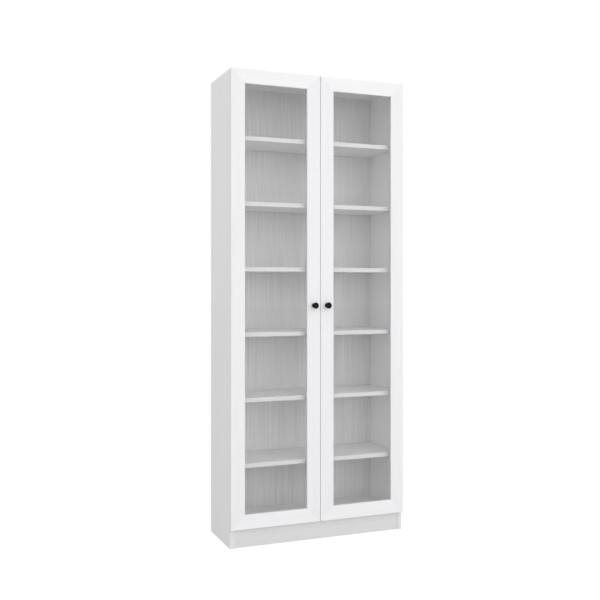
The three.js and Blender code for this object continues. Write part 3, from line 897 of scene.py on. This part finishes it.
def hinge_link(z):
    """The bends are given in from the side's inner face and forward of the case, in millimetres."""
    bends = [(inside_x + u * MM, case_front - w * MM) for u, w in LINK_BENDS]
    route = smooth_line([cup_pivot.xy, *bends, arm_pivot.xy], 5)
    left, right = [], []
    for spot, before, after in zip(route, [route[0], *route], [*route[1:], route[-1]]):
        way = (Vector(after) - Vector(before)).normalized()
        sideways = Vector((-way.y, way.x)) * LINK_HALF_THICK
        left.append(Vector(spot) + sideways)
        right.append(Vector(spot) - sideways)
    link = prism([(x, y, z - LINK_HALF) for x, y in left + right[::-1]], UP * 2 * LINK_HALF)
    link = round_edges(link, 0.35 * MM, 2, lambda edge: not runs_along(2)(edge))
    for pivot, radius in ((arm_pivot, ARM_EYE_RADIUS), (cup_pivot, CUP_EYE_RADIUS)):
        eye = drum(radius, pivot, z - LINK_HALF, z + LINK_HALF, 28)
        link = combine(link, eye, "UNION")
    for pivot, pin_radius in ((arm_pivot, ARM_PIN_RADIUS), (cup_pivot, CUP_PIN_RADIUS)):
        bore = drum(pin_radius + EYE_CLEAR, pivot, z - 2 * LINK_HALF, z + 2 * LINK_HALF, 24)
        link = combine(link, bore, "DIFFERENCE")
    return link


for side in SIDES:
    flipped = side == "right"
    for i, z in enumerate(hinge_heights, 1):
        tag = f"{side}_{i}"
        piece(f"cup_{tag}", hinge_cup(z), f"{side}_door", nickel,
              [f"hinge_cup_{tag}"], mirrored=flipped, smooth=35)
        piece(f"cup_screws_{tag}", cup_screws(z), f"{side}_door", zinc, mirrored=flipped, smooth=35)
        piece(f"arm_{tag}", hinge_arm(z), "carcass", nickel,
              [f"hinge_arm_{tag}"], mirrored=flipped, smooth=35)
        piece(f"arm_screws_{tag}", arm_screws(z), "carcass", zinc, mirrored=flipped, smooth=35)
        piece(f"link_{tag}", hinge_link(z), f"{side}_hinge_links", nickel,
              [f"hinge_link_{tag}"], mirrored=flipped, smooth=35)
print("hinges made:", 2 * len(hinge_heights))

# %% [markdown]
# ## Small fittings
#
# Cam locks pull the case together: a zinc drum with a cross for the driver. Each shelf rests on four
# white pins, and two soft bumpers on each door keep it off the case.

# %% Cam locks
def cam_lock(node, facing):
    low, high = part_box(node)
    centre = (low + high) / 2
    radius = (high.x - low.x) / 2
    half = (high.z - low.z) / 2
    rim = 0.6 * MM
    body = turned([(0, -half), (radius, -half), (radius, half - rim), (radius - rim, half),
                   (radius - 2 * MM, half), (radius - 2.3 * MM, half - 0.5 * MM), (0, half - 0.5 * MM)],
                  centre, (0, 0, facing), 40)
    recess = cross_recess(centre + UP * facing * half, (0, 0, facing), 3.6 * MM, 3 * MM)
    return combine(body, recess, "DIFFERENCE")


for end, cams in CAM_NODES.items():
    facing = 1 if end == "top" else -1
    for node in cams:
        piece(f"{node}_drum", cam_lock(node, facing), "carcass", zinc, [node], smooth=35)

# %% [markdown]
# A shelf pin is a short peg with a flange against the side, turned like the screws.
# A bumper is a soft, milky dome a little over a millimetre high, stuck to the back of the door.

# %% Shelf pins and door bumpers
PIN_RADIUS, PIN_LENGTH = 2.5 * MM, 7 * MM
PIN_BELOW_SHELF = 2.6 * MM
PIN_FROM_FRONT, PIN_FROM_BACK = 30 * MM, 40 * MM


def shelf_pin(x, y, z, inward):
    profile = [(0, 0), (3.6 * MM, 0), (3.6 * MM, 0.8 * MM), (PIN_RADIUS, 1.1 * MM),
               (PIN_RADIUS, PIN_LENGTH - 0.5 * MM), (2.0 * MM, PIN_LENGTH), (0, PIN_LENGTH)]
    return turned(profile, (x, y, z), (inward, 0, 0), 20)


for i in range(1, 7):
    low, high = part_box(f"shelf_{i}")
    pins = [shelf_pin(turn * (-inside_x), y, low.z - PIN_BELOW_SHELF, -turn)
            for turn in (-1, 1) for y in (low.y + PIN_FROM_FRONT, high.y - PIN_FROM_BACK)]
    piece(f"shelf_pins_{i}", gather(pins), "carcass", pin_plastic, smooth=35)

BUMPER_HEIGHT = 1.2 * MM
bumper_profile = [(0, 0), (4 * MM, 0), (3.9 * MM, 0.4 * MM), (3.2 * MM, 0.9 * MM), (1.8 * MM, 1.15 * MM),
                  (0, BUMPER_HEIGHT)]
bumper_heights = {"low": door_low.z + 5.2 * MM, "high": door_high.z - 9 * MM}
for side in SIDES:
    for level, z in bumper_heights.items():
        dome = turned(bumper_profile, (knob_axis.x, door_back, z), (0, 1, 0), 28)
        piece(f"bumper_{level}_{side}", dome, f"{side}_door", bumper_silicone,
              mirrored=side == "right", smooth=50)

# %% [markdown]
# ## Floor, light and camera
#
# The object stands in a plain white studio. The sky is white all round and brighter in front, so the
# light wraps round the case and still leaves the left side a shade darker than the doors. Three large
# soft lamps, two in front and one high on the left, add a little shape. The floor bounces light like
# matt paint, and the camera sees it lifted nearly to white.

# %% Studio
FLOOR_TONE = 0.58
FLOOR_GLOW, FLOOR_LIFT = 1.06, 0.93  # to the camera, this glow makes up this share of the floor
SKY_SEEN = 1.02                      # the sky behind the object, as the camera sees it
SKY_EVEN = 0.84                      # the sky as a light, the same from all round
SKY_FRONT_FOCUS, SKY_FRONT_STRENGTH = 4, 0.87


def studio_floor():
    bm = bmesh.new()
    bmesh.ops.create_circle(bm, cap_ends=True, segments=96, radius=40)
    mesh = bpy.data.meshes.new("studio_floor")
    bm.to_mesh(mesh)
    bm.free()
    floor = bpy.data.objects.new("studio_floor", mesh)
    bpy.context.scene.collection.objects.link(floor)
    finish = Finish("floor_white", base_color=[FLOOR_TONE] * 3, roughness=0.9)
    glow = finish.node("ShaderNodeEmission", Color=(1, 1, 1), Strength=FLOOR_GLOW)
    seen = finish.node("ShaderNodeLightPath", "Is Camera Ray")
    matt = Wire(finish, finish.shader.outputs[0])
    finish.feed(finish.output.inputs["Surface"],
                finish.node("ShaderNodeMixShader", input0=seen * FLOOR_LIFT, input1=matt, input2=glow))
    mesh.materials.append(finish.material)


def studio_world(even, lobes):
    """A white sky: even all round, with broad brighter lobes given as (direction, focus, strength)."""
    world = bpy.data.worlds.new("studio")
    world.use_nodes = True
    bpy.context.scene.world = world
    graph = Graph(world.node_tree)
    direction = graph.node("ShaderNodeTexCoord", "Generated")
    light = graph.math("ADD", even, 0)
    for towards, focus, strength in lobes:
        facing = graph.vector("DOT_PRODUCT", direction, Vector(towards).normalized(), 1)
        light = light + graph.math("MAXIMUM", facing, 0) ** focus * strength
    seen = graph.node("ShaderNodeLightPath", "Is Camera Ray")
    background = graph.tree.nodes["Background"]
    graph.feed(background.inputs["Color"], (1, 1, 1))
    graph.feed(background.inputs["Strength"], seen * SKY_SEEN + (1 - seen) * light)


def soft_lamp(name, place, target, size, watts):
    data = bpy.data.lights.new(name, "AREA")
    data.shape = "DISK"
    data.size = size
    data.energy = watts
    lamp = bpy.data.objects.new(name, data)
    lamp.location = place
    lamp.visible_glossy = False
    lamp.visible_camera = False
    lamp.rotation_euler = (Vector(target) - Vector(place)).to_track_quat("-Z", "Y").to_euler()
    bpy.context.scene.collection.objects.link(lamp)


studio_floor()
studio_world(SKY_EVEN, [((0, -1, 0), SKY_FRONT_FOCUS, SKY_FRONT_STRENGTH)])
soft_lamp("key_lamp", (2.4, -3.8, 2.5), (0, 0, 1.0), 2.2, 14)
soft_lamp("front_lamp", (0.3, -4.3, 0.7), (0, 0, 0.6), 3.0, 19)
soft_lamp("left_lamp", (-2.8, -0.6, 3.4), (0, 0, 1.5), 1.6, 5)
bpy.context.scene.view_settings.view_transform = "Standard"
bpy.context.scene.cycles.diffuse_bounces = 10

# %% [markdown]
# The camera stands at chest height, well to the left of the case, and looks level, so that upright
# edges stay upright. A small shift frames the case without tilting the camera.

# %% Camera
camera = bpy.data.objects.new("camera", bpy.data.cameras.new("camera"))
camera.location = (-1.453, -3.506, 1.0877)
camera.rotation_euler = (math.radians(90), 0, math.radians(-21.96))
camera.data.lens = 51.36
camera.data.shift_y = -0.0237
bpy.context.scene.collection.objects.link(camera)
bpy.context.scene.camera = camera
